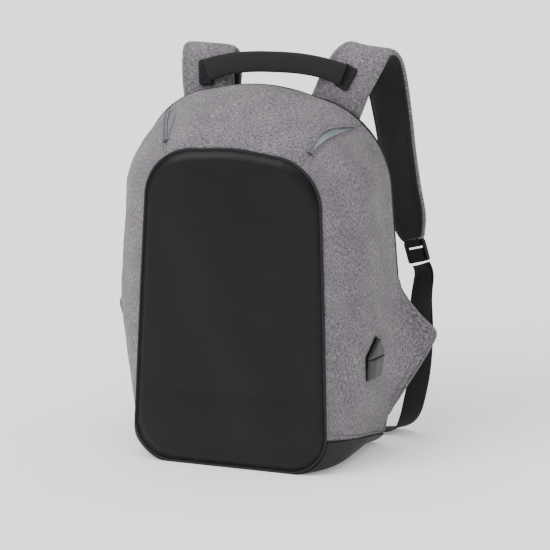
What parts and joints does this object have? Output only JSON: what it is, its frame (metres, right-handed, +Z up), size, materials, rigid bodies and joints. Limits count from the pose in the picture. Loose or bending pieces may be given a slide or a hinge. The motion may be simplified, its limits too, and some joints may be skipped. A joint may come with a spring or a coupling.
{
  "type": "anti-theft backpack",
  "caption": "Backpack with a smooth black front panel, mottled grey sides, covered charging port, padded straps, top handle and a zipped opening hidden in the back.",
  "frame": {"origin": "middle of the base, on the floor", "axes": "+Z up, -Y toward the black front panel, +Y toward the wearer's back, +X toward the side with the charging port"},
  "size_m": [0.405, 0.2318, 0.4795],
  "materials": {
    "mottled_polyester": "grey mottled two-tone plain weave, PU backed",
    "coated_nylon": "black smooth coated nylon, soft sheen",
    "piping_black": "black piping cord in coated tape",
    "boot_black": "black coated base fabric",
    "reflective": "blue-grey reflective strip",
    "air_mesh": "black three-dimensional air mesh",
    "foam": "charcoal padding with bound edge",
    "webbing": "black ribbed webbing",
    "handle_fabric": "charcoal woven sleeve",
    "zip_tape": "black woven zip tape",
    "zip_teeth": "black coil teeth",
    "zip_metal": "black painted zinc",
    "buckle_plastic": "black moulded acetal",
    "port_rubber": "black moulded rubber",
    "socket_steel": "nickel plated steel",
    "socket_plastic": "white insulating plastic",
    "socket_gold": "gold plated contacts",
    "board": "stiff plastic board",
    "lining": "dark lining fabric"
  },
  "bodies": {
    "pack": {"front_panel": "coated_nylon", "front_piping": "piping_black", "base_boot": "boot_black", "top_yoke": "mottled_polyester", "side_gusset_left": "mottled_polyester", "side_gusset_right": "mottled_polyester", "wing_left": "mottled_polyester", "wing_right": "mottled_polyester", "reflective_insert_left": "reflective", "reflective_insert_right": "reflective", "lower_back_panel": "air_mesh", "zip_tape": "zip_tape", "zip_chain": "zip_teeth", "base_board": "board", "lumbar_pad": "air_mesh", "port_frame": "port_rubber", "port_cover_top": "port_rubber", "socket_shell": "socket_steel", "socket_tongue": "socket_plastic", "socket_contacts": "socket_gold", "webbing_left": "webbing", "webbing_tail_left": "webbing", "webbing_right": "webbing", "webbing_tail_right": "webbing"},
    "back_flap": {"back_flap_panel": "air_mesh", "tablet_sleeve": "lining", "back_pad_left": "air_mesh", "back_pad_right": "air_mesh", "handle_core": "webbing", "handle_sleeve": "handle_fabric", "strap_mesh_left": "air_mesh", "strap_foam_left": "foam", "strap_cover_left": "mottled_polyester", "lock_loop_left": "webbing", "handle_patch_left": "webbing", "strap_mesh_right": "air_mesh", "strap_foam_right": "foam", "strap_cover_right": "mottled_polyester", "lock_loop_right": "webbing", "handle_patch_right": "webbing"},
    "port_lid": {"port_cover_lid": "port_rubber"},
    "lock_left": {"ladder_lock_left": "buckle_plastic", "webbing_fold_left": "webbing"},
    "slider_left": {"zip_slider_left": "zip_metal"},
    "pull_left": {"zip_pull_left": "zip_metal"},
    "lock_right": {"ladder_lock_right": "buckle_plastic", "webbing_fold_right": "webbing"},
    "slider_right": {"zip_slider_right": "zip_metal"},
    "pull_right": {"zip_pull_right": "zip_metal"}
  },
  "joints": [
    {"name": "back_flap_hinge", "type": "hinge", "parent": "pack", "child": "back_flap", "pos_m": [0, 0.07, 0.163], "axis": [-1, 0, 0], "range_deg": [0, 90], "deforming": ["webbing_left", "webbing_tail_left", "webbing_right", "webbing_tail_right"]},
    {"name": "port_lid_hinge", "type": "hinge", "parent": "pack", "child": "port_lid", "pos_m": [0.15921, 0.00236, 0.12902], "axis": [-0.2877, -0.9577, 0], "range_deg": [0, 110], "stiffness_Nm_per_rad": 0.006},
    {"name": "lock_tilt_left", "type": "hinge", "parent": "back_flap", "child": "lock_left", "pos_m": [-0.13966, 0.12834, 0.23291], "axis": [0.8879, 0.3193, -0.3312], "range_deg": [0, 40]},
    {"name": "zip_slide_left", "type": "slide", "parent": "pack", "child": "slider_left", "axis": [0.0654, 0, 0.9979], "range_m": [0, 0.12]},
    {"name": "pull_swing_left", "type": "hinge", "parent": "slider_left", "child": "pull_left", "pos_m": [-0.15554, 0.0769, 0.18351], "axis": [0.9979, 0, -0.0654], "range_deg": [0, 150]},
    {"name": "lock_tilt_right", "type": "hinge", "parent": "back_flap", "child": "lock_right", "pos_m": [0.16166, 0.12834, 0.23291], "axis": [0.8602, -0.3879, 0.3311], "range_deg": [0, 40]},
    {"name": "zip_slide_right", "type": "slide", "parent": "pack", "child": "slider_right", "axis": [-0.0654, 0, 0.9979], "range_m": [0, 0.12]},
    {"name": "pull_swing_right", "type": "hinge", "parent": "slider_right", "child": "pull_right", "pos_m": [0.15554, 0.0769, 0.18351], "axis": [0.9979, 0, 0.0654], "range_deg": [0, 150]}
  ]
}
